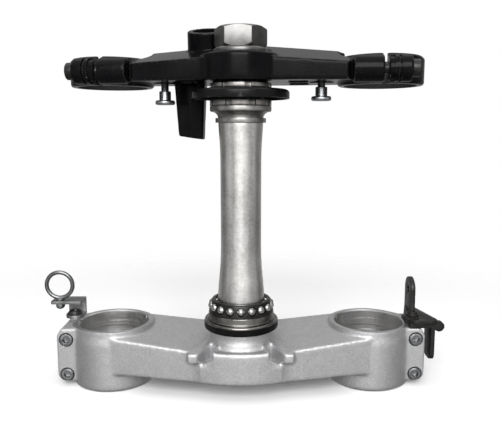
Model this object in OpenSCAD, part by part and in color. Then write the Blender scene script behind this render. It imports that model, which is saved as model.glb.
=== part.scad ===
// Motorcycle triple clamp: cast lower yoke with its steering stem, the bearing
// parts and ring nuts on the stem, and the cast top yoke with its stem nut.
// The origin is on the steering axis in the plane of the lower clamp undersides.
// +Z runs up the stem, +Y points to the front of the motorcycle, +X to one side.

/* [Forks] */
// Distance between the two fork axes
fork_spacing = 210; // [200:1:224]
// Distance of the fork axes in front of the steering axis
fork_offset = 20; // [16:0.5:24]

/* [Lower yoke] */
// Diameter of the lower clamp bores
lower_bore_d = 55.5; // [52:0.1:57]
// Height of the lower clamps
clamp_h = 48; // [45:0.5:52]
// Wall of the lower clamps at the rim
clamp_rim_wall = 3.9; // [3:0.1:4.4]
// Wall of the lower clamps below the shoulder
clamp_wall = 5.2; // [4.8:0.1:6.5]
// Height of the sloped shoulder under the rim
shoulder_h = 10; // [6:0.5:14]
// Width of the pinch slots in both yokes
slot_w = 3; // [2:0.1:4]
// Height of the underside of the arms
web_base = 13; // [10:0.5:16]
// Height of the arms' top halfway along them, on the fork side of the stem
web_top = 40.2; // [37:0.1:42]
// Thickness of the arms' roof over the cast cells
web_roof = 6; // [4:0.5:9]
// Reach of the nose in front of the steering axis
nose_r = 32; // [30:0.5:34]
// Height of the nose
nose_top = 38.5; // [36:0.5:41]
// Height of the bearing seat on the boss
boss_top = 50.4; // [48:0.1:53]
// Height of the lower screw in each pair of ears
ear_bolt_low = 9.7; // [9:0.1:12]
// Reach of the ears outboard of the fork axis
ear_reach = 41.9; // [41:0.1:46]
// Distance of the ear faces from the middle of the slot
ear_depth = 20; // [18:0.5:24]

/* [Stem and bearings] */
// Radius of the stem at the lower bearing seat
stem_seat_r = 18.3; // [17.5:0.1:19]
// Radius of the stem at its waist
stem_waist_r = 15.6; // [15:0.1:17]
// Radius of the stem just under the upper race
stem_neck_r = 16.9; // [16.5:0.1:17.8]
// Radius of the threaded top of the stem
stem_thread_r = 12.9; // [12:0.1:13.5]
// Radius of the hole through the stem
stem_hole_r = 9.5; // [8:0.5:10.5]
// Height of the upper race seat on the stem
neck_top = 209; // [200:1:225]
// Diameter of the bearing balls
ball_d = 6.35; // [6:0.05:6.4]
// Number of bearing balls
ball_count = 18; // [12:1:19]
// Radial gap between the stem's seat and the circle that the balls run on
ball_seat_gap = 4.5; // [4.3:0.1:5.2]
// Radius of the ring nuts
ring_nut_r = 23.2; // [22:0.1:26]
// Number of spanner slots in a ring nut
ring_slots = 8; // [4:1:10]
// Radius of the upper dust cover
cover_r = 36.7; // [34:0.1:40]

/* [Top yoke] */
// Turn of the top yoke on the stem, with its nut
top_turn = -6; // [-10:0.5:0]
// Diameter of the top clamp bores
top_bore_d = 54.8; // [50:0.1:56]
// Height of the top clamps
top_clamp_h = 21.5; // [20:0.5:26]
// Wall of the top clamps
top_clamp_wall = 5; // [4.6:0.1:6]
// Radius of the centre boss of the top yoke
hub_r = 31; // [29:0.5:33]
// Thickness of the top yoke at its centre seat
hub_h = 22; // [20:0.5:26]
// Radius of the horizontal pinch bolt bosses
pinch_boss_r = 9.6; // [9:0.1:10.5]
// Distance of the top pinch bolts behind the fork axes
pinch_bolt_y = 33.2; // [32.6:0.1:35]
// Distance of the shoulder bolts from the steering axis along the yoke
shoulder_bolt_x = 60.3; // [56:0.1:64]
// Width across the flats of the stem nut
nut_flats = 34.4; // [32:0.1:37]
// Height of the stem nut
nut_h = 15.2; // [12:0.1:18]

/* [Guides and stays] */
// Outer radius of the hose guide ring
guide_ring_r = 12.5; // [10:0.1:14]
// Thickness of the hose guide ring's wire
guide_wire_d = 3.4; // [2.5:0.1:4]
// Thickness of the hose guide bracket's sheet
guide_sheet = 2.4; // [2:0.1:3]
// Height of the cable stay's tongue above the clamp
tongue_h = 33.5; // [26:0.5:40]
// Width of the cable stay's tongue
tongue_w = 21; // [16:0.5:22]
// Thickness of the stays
stay_sheet = 3.2; // [2.5:0.1:3.6]

/* [Hidden] */
$fn = 96;

// Gaps: a press fit, a hole round a bolt, and parts that stand beside each other
press_gap = 0.02;
bolt_gap = 0.2;
side_gap = 0.3;
eps = 0.5;

// Places of the forks and the lower clamps
fork_x = fork_spacing / 2;
lower_bore_r = lower_bore_d / 2;
rim_r = lower_bore_r + clamp_rim_wall;
fork_clear = 0.6;
clamp_r = lower_bore_r + clamp_wall;
edge = 1.2;

// Radii of the ball circle, the race, the seal on it and the boss under them
ball_circle_r = stem_seat_r + ball_seat_gap;
race_r = ball_circle_r + 3.5;
seal_r = race_r + 2.7;
boss_r = seal_r - 3;

// Arms of the lower yoke: their outline, slopes and cast cells
nose_curve_r = 90;
nose_curve_y = nose_curve_r - nose_r;
web_nose_x = nose_r + 4;
web_front_in = sqrt(nose_curve_r * nose_curve_r - web_nose_x * web_nose_x) - nose_curve_y;
web_front_out = clamp_r - fork_offset - 1;
web_back_in = fork_offset + 18;
web_back_out = fork_offset + 25;
web_slope_x = atan(0.077);
web_slope_y = atan(0.09);
web_under_x = web_nose_x;
web_under_slope = atan(0.024);
web_mid_x = 0.4 * fork_x;
web_fillet = 14;
cell_rib = 4;
cell_round = 3;
cell_in = boss_r + cell_rib;
cell_out = fork_x - clamp_r - 3;
cell_back = web_back_in - 5;
cell_front = -web_front_out - 2;
cell_top = web_top - web_roof;

// Nose with its pocket, the valleys beside it and the steering stops
nose_half = 21.7;
nose_rim = 1.6;
nose_chamfer = 1.6;
nose_taper = 15;
nose_rib_len = 17;
nose_rib_rise = 4;
pocket_depth = 1.4;
valley_floor = 26.5;
valley_turn = 28;
ridge_rise = 3.7;
stop_w = 7;
valley_mouth = 11.3;
stop_x = nose_half + valley_mouth + stop_w / 2;
stop_face = nose_r - 2.4;
stop_top = nose_top - 0.9;
stop_h = 7.8;

// Ears, their bolts and the notch in each rim
ear_base = 4;
ear_root = lower_bore_r - 6;
ear_top = clamp_h - 0.6;
ear_bolt_x = ear_reach - 7.7;
ear_bolt_high = ear_top - 9;
ear_bolt_r = 3;
ear_head_r = 5;
ear_head_h = 6;
ear_head_proud = 1;
ear_bolt_len = 2 * ear_depth - 8;
ear_tap_depth = 4.8;
ear_tap_r = 2.6;
notch_w = 3;
notch_angle = 28;

// Stack on the stem, from the bearing seat up
foot_z = web_base;
seal_h = 5.2;
washer_h = 1.8;
seal_z = boss_top;
washer_z = seal_z + seal_h;
race_z = washer_z + washer_h;
race_band = 5.6;
race_top = race_z + 12.6;
race_bore = stem_seat_r + press_gap;
ball_r = ball_d / 2;
ball_z = race_z + 10.6;
groove_r = ball_r + 0.08;
cage_wall = 1.2;
cage_r = ball_circle_r + 2.6;
cage_top_r = ball_circle_r + 0.4;
cage_hole_gap = 0.1;
cage_z = ball_z - 4.6;
cage_top = ball_z + ball_r + 1.7;
cage_flange = 1.3;
cage_eye_r = stem_seat_r + 1.7;
taper_low = cage_top + 3;
taper_low_end = taper_low + 28;
taper_high = neck_top - 21;

// Upper race, ring nuts and dust cover
upper_race_h = 12.3;
upper_lip_r = stem_neck_r + 2.2;
upper_bore_r = stem_thread_r + press_gap;
adjuster_h = 4.8;
adjuster_turn = -67;
cover_h = 8.2;
cover_wall = 1.6;
cover_hub_r = upper_bore_r + 5;
lock_h = 4;
lock_turn = -75;
slot_spanner_w = 5;
slot_spanner_d = 2.6;
adjuster_z = neck_top + upper_race_h;
cover_z = adjuster_z + adjuster_h;
lock_z = cover_z + cover_h;
yoke_z = lock_z + lock_h;

// Top yoke: levels, outline and slopes
top_bore_r = top_bore_d / 2;
top_clamp_r = top_bore_r + top_clamp_wall;
top_clamp_z = yoke_z - 1.6;
top_web_z = yoke_z + 1;
hub_front_z = yoke_z + 2.8;
hub_top_z = yoke_z + hub_h;
hub_foot_r = 20;
deck_z = hub_top_z + 10;
deck_slope_x = atan(0.08);
deck_slope_y = atan(0.27);
shoulder_z = hub_top_z - 3;
seat_r = 23;
top_web_end = fork_x - top_bore_r + 1.4;
top_web_front_in = 20;
top_web_front_out = 16.2;
top_web_back = fork_offset + 23;
top_web_roof = 6;
top_cell_z = top_web_z + 8;

// Pinch bosses and bolts of the top yoke
pinch_y = fork_offset - pinch_bolt_y;
pinch_z = top_clamp_z + top_clamp_h / 2 - 0.6;
pinch_in = fork_x - top_bore_r + 4.9;
pinch_out = fork_x + top_bore_r - 9;
pinch_collar = 8;
pinch_bolt_r = 4;
pinch_head_r = 6.4;
pinch_head_h = 8;
pinch_head_proud = 5.6;
pinch_bolt_end = pinch_in + 6.5;
pinch_step = 1.4;

// Ignition lock boss above the yoke and its leg below
lock_x = -28.6;
lock_y = 28;
lock_tilt = 17;
lock_boss_r = 15.3;
lock_boss_h = 27;
lock_boss_z = yoke_z + 16;
lock_bore_r = 11;
lock_bore_depth = 24;
leg_x = -43.5;
leg_y = 26;
leg_w = 25;
leg_h = 42;

// Shoulder bolts that hang under the top yoke
shoulder_bolt_y = 10;
shoulder_neck_r = 2.9;
shoulder_body_r = 4.5;
shoulder_body_h = 7;
shoulder_flange_r = 7.6;
shoulder_flange_h = 3.4;
shoulder_hole_depth = 9;
left_drop = 5;
right_drop = 2.4;
shoulder_boss_r = 9;

// Stem washer and nut
stem_washer_r = 20.8;
stem_washer_h = 3.4;
nut_z = hub_top_z + stem_washer_h;
nut_corner_r = nut_flats / 2 / cos(30);
stem_end = nut_z + nut_h - 2.5;

// Hose guide on the left clamp
guide_w = 14.5;
guide_x = -fork_x - lower_bore_r - fork_clear - guide_w / 2;
guide_head_r = 6.2;
guide_y1 = fork_offset + 22;
guide_bolt_y = guide_y1 - 9.75;
guide_top = clamp_h + 14;
guide_flange_y = fork_offset + 6;
guide_tab = 11;
guide_eye_x = guide_x - guide_w / 2 - 4.6;
guide_eye_y = fork_offset + 11.5;
guide_eye_z = guide_top + guide_ring_r + 0.3;
guide_stud_r = 2.5;
guide_nut_r = 3.9;
guide_nut_h = 5.2;

// Stays on the right clamp
stay_x = fork_x + ear_reach - 2.5;
stay_out_x = stay_x + 12.2;
stay_lobe_x = fork_x + lower_bore_r + fork_clear + 7.2;
stay_lobe_y = fork_offset - 15;
stay_bolt_x = fork_x + ear_reach - 7.3;
stay_bolt_y = fork_offset - 5.6;
stay_hole_r = 2.4;
stay_lobe_r = 7.2;
stay_head_r = 5.2;
stay_head_h = 3.2;
tongue_y = fork_offset + 14;
stay_y0 = fork_offset - 18.5;
stay_y1 = tongue_y + tongue_w / 2;
hook_r = 4.2;
hook_x = stay_out_x + 2.2;
hook_z = ear_top + stay_sheet - hook_r + 1;
hook_w = 4;
tongue_hole_r = 2.9;
strip_len = 30.3;
strip_w = 18;
strip_y = fork_offset - 11;
strip_x = fork_x + ear_reach + 4.2;
strip_round = 6;

// One clamp's side of the yoke: x is measured outboard from the fork axis
module fork_side(s) {
    translate([s * fork_x, fork_offset, 0]) mirror([s < 0 ? 1 : 0, 0, 0]) children();
}

// A cylinder along x from x0 to x1
module rod_x(x0, x1, r) {
    translate([x0, 0, 0]) rotate([0, 90, 0]) cylinder(h = x1 - x0, r = r);
}

// A cylinder along y from y0 to y1
module rod_y(y0, y1, r) {
    translate([0, y0, 0]) rotate([-90, 0, 0]) cylinder(h = y1 - y0, r = r);
}

// A square with round corners, from one corner to the other
module round_box(x0, y0, x1, y1, r) {
    translate([x0 + r, y0 + r]) offset(r = r, $fn = 24) square([x1 - x0 - 2 * r, y1 - y0 - 2 * r]);
}

// Socket head screw lying along +y: its head starts at y = 0, and its shank follows
module socket_screw(head_r, head_h, shank_r, length) {
    socket_r = 0.58 * head_r;
    difference() {
        union() {
            rotate([-90, 0, 0]) rotate_extrude() polygon([
                [0, 0], [head_r - 0.6, 0], [head_r, 0.6], [head_r, head_h], [0, head_h]
            ]);
            rod_y(head_h - eps, length, shank_r);
        }
        rotate([-90, 0, 0]) translate([0, 0, -eps]) cylinder(h = 0.55 * head_h + eps, r = socket_r, $fn = 6);
    }
}

// Outline of the lower yoke's arms and nose, seen from above
module web_plan() {
    offset(r = -web_fillet, $fn = 48) offset(delta = web_fillet) {
        intersection() {
            translate([0, nose_curve_y]) circle(r = nose_curve_r, $fn = 180);
            translate([-web_nose_x, -nose_r - eps]) square([2 * web_nose_x, nose_r]);
        }
        polygon([
            [-fork_x, -web_front_out], [-web_nose_x, -web_front_in],
            [web_nose_x, -web_front_in], [fork_x, -web_front_out],
            [fork_x, web_back_out], [nose_half, web_back_in],
            [-nose_half, web_back_in], [-fork_x, web_back_out]
        ]);
    }
}

// Everything above the sloped tops of the two arms
module above_web() {
    big = fork_spacing;
    for (s = [0, 1]) mirror([s, 0, 0])
        translate([web_mid_x, 0, web_top]) rotate([web_slope_y, -web_slope_x, 0])
            translate([-web_mid_x * 1.1, -big / 2, 0]) cube([big, big, clamp_h]);
}

// Everything under the arms, whose undersides rise a little towards the clamps
module below_web() {
    for (s = [0, 1]) mirror([s, 0, 0])
        translate([web_under_x, -fork_spacing / 2, web_base]) rotate([0, -web_under_slope, 0])
            translate([0, 0, -web_base]) cube([fork_x, fork_spacing, web_base]);
}

// Space above the nose, whose pocket lies below the tops of the arms
module above_nose() {
    translate([-nose_half, -nose_r - eps, nose_top - pocket_depth]) cube([2 * nose_half, nose_r, clamp_h]);
}

// One fork clamp of the lower yoke, with its sloped shoulder and flat rim
module lower_clamp() {
    rotate_extrude() polygon([
        [0, 0], [clamp_r - edge, 0], [clamp_r, edge], [clamp_r, clamp_h - shoulder_h],
        [rim_r, clamp_h - edge / 2], [rim_r - edge / 2, clamp_h], [0, clamp_h]
    ]);
}

// The pair of ears that the pinch bolts draw together
module lower_ears() {
    translate([0, ear_depth, 0]) rotate([90, 0, 0]) linear_extrude(2 * ear_depth) polygon([
        [ear_root, ear_base], [ear_reach - 4, ear_base], [ear_reach - 0.8, ear_base + 3.4],
        [ear_reach, ear_base + 7], [ear_reach, ear_top - 6], [ear_reach - 3.8, ear_top],
        [ear_root, ear_top]
    ]);
}

// Nose with a low rim in front and a rib along each side, round a shallow pocket
module nose() {
    difference() {
        intersection() {
            translate([0, nose_curve_y, 0]) rotate_extrude() polygon([
                [0, web_base], [nose_curve_r, web_base], [nose_curve_r, nose_top - nose_chamfer],
                [nose_curve_r - nose_chamfer, nose_top], [0, nose_top]
            ]);
            translate([-nose_half, -nose_r - eps, 0]) cube([2 * nose_half, nose_r, nose_top + eps]);
        }
        translate([0, nose_curve_y, nose_top - pocket_depth])
            cylinder(h = pocket_depth + eps, r = nose_curve_r - nose_chamfer - nose_rim);
    }
    for (s = [0, 1]) mirror([s, 0, 0])
        slanted_rib(nose_half, nose_r - 3, nose_taper, nose_rim, eps, nose_rib_len, nose_top - 0.2, nose_rib_rise);
}

// Rib that starts at (x, -y), runs back and inboard, and rises: it lies between w inboard and
// out outboard of the line that it starts on
module slanted_rib(x, y, turn, w, out, length, top, rise) {
    translate([x, -y, 0]) rotate([90, 0, 90 + turn]) translate([0, 0, -w]) linear_extrude(w + out) polygon([
        [0, web_base + 4], [0, top], [length, top + rise], [length, web_base + 4]
    ]);
}

// Valley between the nose and a steering stop: a steep wall on the stop's side, and a flat floor
module valley() {
    mouth_x = stop_x - stop_w / 2 - 0.4;
    nose_back = nose_half - nose_rib_len * sin(nose_taper);
    wall_run = nose_r - 12.6;
    difference() {
        translate([0, 0, valley_floor]) linear_extrude(clamp_h) polygon([
            [nose_half, -nose_r - 2], [mouth_x, -nose_r - 2], [mouth_x, -stop_face],
            [mouth_x - wall_run * tan(valley_turn), -stop_face + wall_run],
            [nose_back, -nose_r + 3 + nose_rib_len], [nose_half, -nose_r + 3]
        ]);
        cylinder(h = clamp_h + valley_floor, r = boss_r + 0.5);
    }
}

// Steering stop with the ridge that runs from it to the boss
module steering_stop() {
    low = stop_top - stop_h;
    translate([stop_x - stop_w / 2, -stop_face, low]) cube([stop_w, 9, stop_h]);
    slanted_rib(stop_x - stop_w / 2, stop_face - 1, valley_turn, 1.5, stop_w - 0.8, 22, stop_top, ridge_rise);
}

// Boss that holds the stem: it flares into the pocket behind the nose
module stem_boss() {
    flare = 3;
    flare_z = nose_top + 1.5;
    flare_h = 5.5;
    steps = 8;
    rotate_extrude() polygon(concat(
        [[0, foot_z], [boss_r, foot_z]],
        [for (i = [0:steps]) let (a = 90 * i / steps)
            [boss_r - flare * sin(a), flare_z + flare_h * (1 - cos(a))]],
        [[boss_r - flare, boss_top], [0, boss_top]]
    ));
}

// Cast cells that open downwards between the ribs of one arm
module web_cells() {
    mid_x = (cell_in + cell_out) / 2;
    mid_y = (cell_front + cell_back) / 2;
    for (x = [[cell_in, mid_x - cell_rib / 2], [mid_x + cell_rib / 2, cell_out]])
        for (y = [[cell_front, mid_y - cell_rib / 2], [mid_y + cell_rib / 2, cell_back]])
            translate([0, 0, web_base - eps]) linear_extrude(cell_top - web_base + eps)
                round_box(x[0], y[0], x[1], y[1], cell_round);
}

module lower_yoke() {
    color("silver") difference() {
        union() {
            difference() {
                translate([0, 0, web_base]) linear_extrude(clamp_h - web_base) web_plan();
                above_web();
                below_web();
                above_nose();
            }
            for (s = [-1, 1]) fork_side(s) {
                lower_clamp();
                lower_ears();
            }
            for (s = [0, 1]) mirror([s, 0, 0]) steering_stop();
            nose();
            stem_boss();
        }
        for (s = [-1, 1]) fork_side(s) {
            translate([0, 0, -eps]) cylinder(h = clamp_h + 2 * eps, r = lower_bore_r);
            translate([0, -slot_w / 2, -eps]) cube([ear_reach + eps, slot_w, clamp_h + 2 * eps]);
            for (z = [ear_bolt_low, ear_bolt_high]) translate([ear_bolt_x, 0, z]) {
                rod_y(-ear_depth - eps, ear_depth - 4, ear_bolt_r + bolt_gap);
                rod_y(-ear_depth - eps, -ear_depth + ear_head_h - ear_head_proud, ear_head_r + bolt_gap * 2);
            }
            rotate([0, 0, 180 - notch_angle]) translate([lower_bore_r - 1, -notch_w / 2, clamp_h - 2])
                cube([3, notch_w, 3]);
        }
        translate([0, 0, foot_z - eps]) cylinder(h = boss_top, r = stem_seat_r + press_gap);
        for (s = [0, 1]) mirror([s, 0, 0]) {
            valley();
            web_cells();
        }
        for (p = [[guide_x, guide_bolt_y], [stay_bolt_x, stay_bolt_y]])
            translate([p[0], p[1], ear_top - ear_tap_depth]) cylinder(h = ear_tap_depth + eps, r = ear_tap_r);
    }
}

module lower_pinch_bolts(s) {
    color("dimgray") fork_side(s) for (z = [ear_bolt_low, ear_bolt_high])
        translate([ear_bolt_x, -ear_depth - ear_head_proud, z])
            socket_screw(ear_head_r, ear_head_h, ear_bolt_r, ear_bolt_len);
}

module steering_stem() {
    color("lightsteelblue") rotate_extrude() polygon([
        [stem_hole_r, foot_z], [stem_seat_r, foot_z], [stem_seat_r, taper_low],
        [stem_waist_r, taper_low_end], [stem_waist_r, taper_high], [stem_neck_r, neck_top - 2],
        [stem_neck_r, neck_top], [stem_thread_r, neck_top], [stem_thread_r, stem_end - 1],
        [stem_thread_r - 1, stem_end], [stem_hole_r, stem_end]
    ]);
}

module lower_dust_seal() {
    color("black") translate([0, 0, seal_z]) rotate_extrude() polygon([
        [stem_seat_r + press_gap, 0], [seal_r - 0.8, 0], [seal_r, 0.8],
        [seal_r, seal_h], [stem_seat_r + press_gap, seal_h]
    ]);
}

module seal_washer() {
    color("gainsboro") translate([0, 0, washer_z]) rotate_extrude() polygon([
        [stem_seat_r + press_gap, 0], [seal_r - 0.2, 0], [seal_r - 0.2, 0.9],
        [seal_r - 1, washer_h], [stem_seat_r + press_gap, washer_h]
    ]);
}

// Inner race with its flange, its outer band and the groove that the balls run in
module lower_inner_race() {
    shoulder = ball_circle_r + 0.7;
    start = -acos((shoulder - ball_circle_r) / groove_r);
    steps = 12;
    color("silver") rotate_extrude() polygon(concat(
        [[race_bore, race_z], [race_r, race_z], [race_r, race_z + 0.9], [race_r - 0.4, race_z + 1.2],
         [race_r - 0.9, race_z + race_band], [shoulder, race_z + race_band + 0.4]],
        [for (i = [0:steps]) let (a = start + (-180 - start) * i / steps)
            [ball_circle_r + groove_r * cos(a), ball_z + groove_r * sin(a)]],
        [[ball_circle_r - groove_r - 0.2, race_top], [race_bore, race_top]]
    ));
}

module ball_cage() {
    color("black") difference() {
        rotate_extrude() polygon([
            [cage_r - cage_wall, cage_z], [cage_r, cage_z], [cage_top_r, cage_top - 0.8],
            [cage_top_r - 0.8, cage_top], [cage_eye_r, cage_top], [cage_eye_r, cage_top - cage_flange],
            [cage_top_r - cage_wall, cage_top - cage_flange]
        ]);
        for (i = [0:ball_count - 1]) rotate([0, 0, 360 * (i + 0.5) / ball_count])
            translate([0, 0, ball_z]) rod_x(ball_circle_r - 1.4, cage_r + 2, ball_r + cage_hole_gap);
    }
}

module bearing_balls() {
    color("whitesmoke") for (i = [0:ball_count - 1]) rotate([0, 0, 360 * (i + 0.5) / ball_count])
        translate([ball_circle_r, 0, ball_z]) sphere(r = ball_r);
}

// Upper race: a lip below, the concave groove, and a thick flange above
module upper_inner_race() {
    lip_h = 3.4;
    flange_z = 8.2;
    waist = upper_lip_r - 2;
    steps = 8;
    color("silver") translate([0, 0, neck_top]) rotate_extrude() polygon(concat(
        [[upper_bore_r, 0], [upper_lip_r - 0.5, 0], [upper_lip_r, 0.5], [upper_lip_r, lip_h]],
        [for (i = [0:steps]) let (a = 180 - 90 * i / steps)
            [waist + (ring_nut_r - waist) * (1 + cos(a)) * 0.9, lip_h + (flange_z - lip_h) * sin(180 - a) ]],
        [[ring_nut_r, flange_z + 0.8], [ring_nut_r, upper_race_h - 0.6],
         [ring_nut_r - 0.6, upper_race_h], [upper_bore_r, upper_race_h]]
    ));
}

// Ring nut with spanner slots round its edge
module ring_nut(z, h, turn) {
    translate([0, 0, z]) difference() {
        rotate_extrude() polygon([
            [upper_bore_r, 0], [ring_nut_r - 0.5, 0], [ring_nut_r, 0.5],
            [ring_nut_r, h - 0.5], [ring_nut_r - 0.5, h], [upper_bore_r, h]
        ]);
        for (i = [0:ring_slots - 1]) rotate([0, 0, turn + 360 * i / ring_slots])
            translate([ring_nut_r - slot_spanner_d, -slot_spanner_w / 2, -eps])
                cube([slot_spanner_d + 1, slot_spanner_w, h + 2 * eps]);
    }
}

module adjuster_ring_nut() {
    color("lightgray") ring_nut(adjuster_z, adjuster_h, adjuster_turn);
}

module lock_ring_nut() {
    color("lightgray") ring_nut(lock_z, lock_h, lock_turn);
}

module upper_dust_cover() {
    color("black") translate([0, 0, cover_z]) rotate_extrude() polygon([
        [upper_bore_r, 0], [cover_hub_r, 0], [cover_hub_r, cover_h - cover_wall - 0.6],
        [cover_r - cover_wall, cover_h - cover_wall - 1.4], [cover_r - cover_wall, 0.6], [cover_r, 0.6],
        [cover_r, cover_h - 2.6], [cover_r - 1.6, cover_h - 1], [ring_nut_r, cover_h], [upper_bore_r, cover_h]
    ]);
}

// Outline of the top yoke's beam, seen from above
module top_web_plan() {
    offset(r = -10, $fn = 48) offset(delta = 10) {
        circle(r = hub_r);
        polygon([
            [-top_web_end, -top_web_front_out], [-hub_r + 4, -top_web_front_in],
            [hub_r - 4, -top_web_front_in], [top_web_end, -top_web_front_out],
            [top_web_end + 5, 0], [top_web_end + 5, top_web_back - 4], [top_web_end / 2, top_web_back],
            [-top_web_end / 2, top_web_back], [-top_web_end - 5, top_web_back - 4], [-top_web_end - 5, 0]
        ]);
    }
}

// Everything above the deck and above the sloped shoulder in front of it
module above_deck() {
    big = fork_spacing;
    for (s = [0, 1]) mirror([s, 0, 0]) {
        translate([0, 0, deck_z]) rotate([0, deck_slope_x, 0])
            translate([-2, -big / 2, 0]) cube([big, big, hub_h]);
        translate([0, -top_web_front_in, shoulder_z]) rotate([deck_slope_y, deck_slope_x, 0])
            translate([-2, -big / 2, 0]) cube([big, big, hub_h]);
    }
}

module top_clamp() {
    translate([0, 0, top_clamp_z]) rotate_extrude() polygon([
        [0, 0], [top_clamp_r - edge, 0], [top_clamp_r, edge], [top_clamp_r, top_clamp_h - 2.4],
        [top_clamp_r - 2.4, top_clamp_h], [0, top_clamp_h]
    ]);
}

// Pinch bosses behind one top clamp: a full one inboard, a neck and a collar outboard
module pinch_bosses() {
    rear = fork_offset - pinch_y;
    neck_r = pinch_boss_r - pinch_step;
    translate([0, -rear, pinch_z]) {
        rod_x(pinch_in - fork_x, 0, pinch_boss_r);
        rod_x(-eps, pinch_out - fork_x, neck_r);
        rod_x(pinch_out - fork_x - pinch_collar, pinch_out - fork_x - 0.8, pinch_boss_r);
    }
    translate([pinch_in - fork_x + 3, -rear, pinch_z - neck_r])
        cube([pinch_out - pinch_in - 8, 14, 2 * neck_r]);
}

// Hollow boss for the ignition lock, leaning back towards the rider
module lock_boss() {
    translate([lock_x, lock_y, lock_boss_z]) rotate([lock_tilt, 0, 0])
        cylinder(h = lock_boss_h, r1 = lock_boss_r + 1.2, r2 = lock_boss_r);
}

module lock_bore() {
    translate([lock_x, lock_y, lock_boss_z]) rotate([lock_tilt, 0, 0])
        translate([0, 0, lock_boss_h - lock_bore_depth]) cylinder(h = lock_bore_depth + eps, r = lock_bore_r);
}

// Tapered leg under the yoke that steadies the lock
module lock_leg() {
    toe = leg_w - 5;
    hull() {
        translate([leg_x, leg_y, top_web_z + 3]) linear_extrude(1) polygon([
            [-leg_w / 2, -3], [0.5, -8], [leg_w / 2, -4], [leg_w / 2, 8], [-leg_w / 2, 8]
        ]);
        translate([leg_x + 0.5, leg_y, top_web_z - leg_h]) rotate([0, 8, 0]) linear_extrude(1) polygon([
            [-toe / 2, -3], [0.5, -7], [toe / 2, -4], [toe / 2, 6], [-toe / 2, 6]
        ]);
    }
}

module top_cells() {
    x0 = hub_r + 5;
    x1 = top_web_end - 7;
    for (x = [[x0, shoulder_bolt_x - shoulder_boss_r - 1], [shoulder_bolt_x + shoulder_boss_r + 1, x1]])
        if (x[1] - x[0] > 8)
            for (y = [[-8, 12], [16, top_web_back - 6]])
                translate([0, 0, top_web_z - eps]) linear_extrude(top_cell_z - top_web_z + eps)
                    round_box(x[0], y[0], x[1], y[1], cell_round);
}

module top_yoke() {
    color("#1b1b1d") rotate([0, 0, top_turn]) difference() {
        union() {
            difference() {
                translate([0, 0, top_web_z]) linear_extrude(deck_z - top_web_z + 2) top_web_plan();
                above_deck();
                for (s = [-1, 1]) fork_side(s) translate([0, 0, top_clamp_z + top_clamp_h - 1])
                    cylinder(h = hub_h, r = top_clamp_r - 0.6);
                translate([0, 0, hub_top_z]) cylinder(h = hub_h, r = seat_r);
            }
            for (s = [-1, 1]) fork_side(s) {
                top_clamp();
                pinch_bosses();
            }
            rotate_extrude() polygon([
                [0, yoke_z], [hub_foot_r, yoke_z], [hub_foot_r, hub_front_z], [hub_r - 1, hub_front_z],
                [hub_r, hub_front_z + 1], [hub_r, hub_top_z - 3], [hub_r - 1.6, hub_top_z - 1.4],
                [seat_r + 1, hub_top_z], [0, hub_top_z]
            ]);
            for (s = [-1, 1]) translate([s * shoulder_bolt_x, shoulder_bolt_y, top_web_z - 1])
                cylinder(h = 12, r = shoulder_boss_r);
            lock_boss();
            lock_leg();
        }
        translate([0, 0, yoke_z - eps]) cylinder(h = hub_h + 2 * eps, r = stem_thread_r + press_gap);
        for (s = [-1, 1]) fork_side(s) {
            translate([0, 0, top_clamp_z - eps]) cylinder(h = top_clamp_h + 10, r = top_bore_r);
            translate([-slot_w / 2, -top_clamp_r - 16, top_clamp_z - eps])
                cube([slot_w, top_clamp_r + 16, top_clamp_h + 10]);
            translate([0, pinch_y - fork_offset, pinch_z]) {
                rod_x(pinch_bolt_end - fork_x - 1, pinch_out - fork_x + eps, pinch_bolt_r + bolt_gap);
                rod_x(pinch_out - fork_x - pinch_head_h + pinch_head_proud, pinch_out - fork_x + eps,
                    pinch_head_r + bolt_gap);
            }
        }
        for (s = [-1, 1]) translate([s * shoulder_bolt_x, shoulder_bolt_y, top_web_z - 1 - eps])
            cylinder(h = shoulder_hole_depth + eps, r = shoulder_neck_r + press_gap);
        for (s = [0, 1]) mirror([s, 0, 0]) top_cells();
        lock_bore();
    }
}

module top_pinch_bolt(s) {
    color("#26262a") rotate([0, 0, top_turn]) fork_side(s)
        translate([pinch_out - fork_x + pinch_head_proud, pinch_y - fork_offset, pinch_z]) rotate([0, 0, 90])
            socket_screw(pinch_head_r, pinch_head_h, pinch_bolt_r, pinch_out + pinch_head_proud - pinch_bolt_end);
}

module stem_washer() {
    color("gray") translate([0, 0, hub_top_z]) rotate_extrude() polygon([
        [stem_thread_r + press_gap, 0], [stem_washer_r - 0.4, 0], [stem_washer_r, 0.5],
        [stem_washer_r, stem_washer_h - 1.4], [stem_washer_r - 1.8, stem_washer_h],
        [stem_thread_r + press_gap, stem_washer_h]
    ]);
}

module stem_nut() {
    cone = nut_corner_r - nut_flats / 2;
    color("silver") rotate([0, 0, top_turn]) translate([0, 0, nut_z]) difference() {
        intersection() {
            cylinder(h = nut_h, r = nut_corner_r, $fn = 6);
            rotate_extrude() polygon([
                [0, 0], [nut_flats / 2 + 0.4, 0], [nut_corner_r + 0.1, cone * 0.8],
                [nut_corner_r + 0.1, nut_h - cone * 0.8], [nut_flats / 2 - 0.6, nut_h], [0, nut_h]
            ]);
        }
        translate([0, 0, -eps]) cylinder(h = nut_h + 2 * eps, r = stem_thread_r + press_gap);
    }
}

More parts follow.
